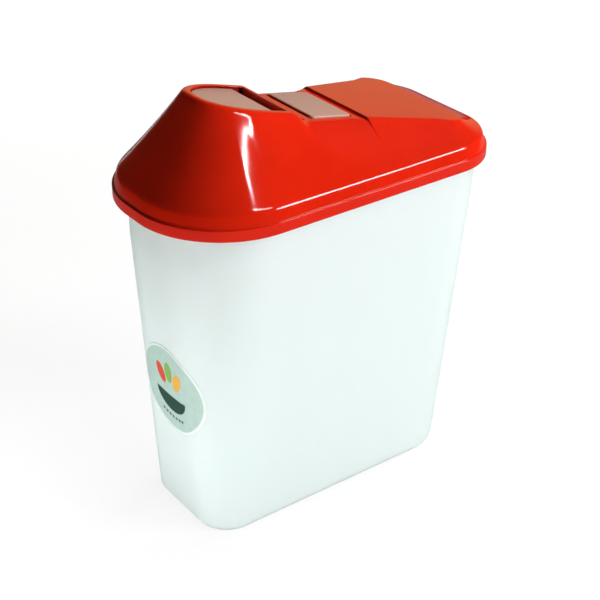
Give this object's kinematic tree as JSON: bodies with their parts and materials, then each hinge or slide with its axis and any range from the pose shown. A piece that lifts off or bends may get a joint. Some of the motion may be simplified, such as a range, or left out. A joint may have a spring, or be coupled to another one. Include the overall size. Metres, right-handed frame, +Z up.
{
  "type": "cereal container with flip spout",
  "caption": "Tall tapered cereal keeper with a push-on pouring lid and a rocking flap that shuts the spout when its rear pad is released.",
  "frame": {"origin": "centre of the object's footprint box on the surface it stands on: under the middle of the lid's lip, at the standing ring's underside", "axes": "+X towards the rear, away from the pouring nose; +Y towards the left long side as seen from behind the nose; +Z up"},
  "size_m": [0.24, 0.133, 0.2894],
  "materials": {
    "container": "satin milky translucent polypropylene",
    "lid": "semi-gloss opaque red polypropylene",
    "spout_flap": "smoky translucent polypropylene",
    "label": "satin film label"
  },
  "bodies": {
    "container_body": {"container": "container", "label": "label"},
    "lid_body": {"lid": "lid"},
    "flap_body": {"spout_flap": "spout_flap"}
  },
  "joints": [
    {"name": "lid_lift", "type": "slide", "parent": "container_body", "child": "lid_body", "axis": [0, 0, 1], "range_m": [0, 0.04]},
    {"name": "flap_hinge", "type": "hinge", "parent": "lid_body", "child": "flap_body", "pos_m": [-0.0262, 0, 0.26828], "axis": [0, 1, 0], "range_deg": [0, 28]}
  ]
}
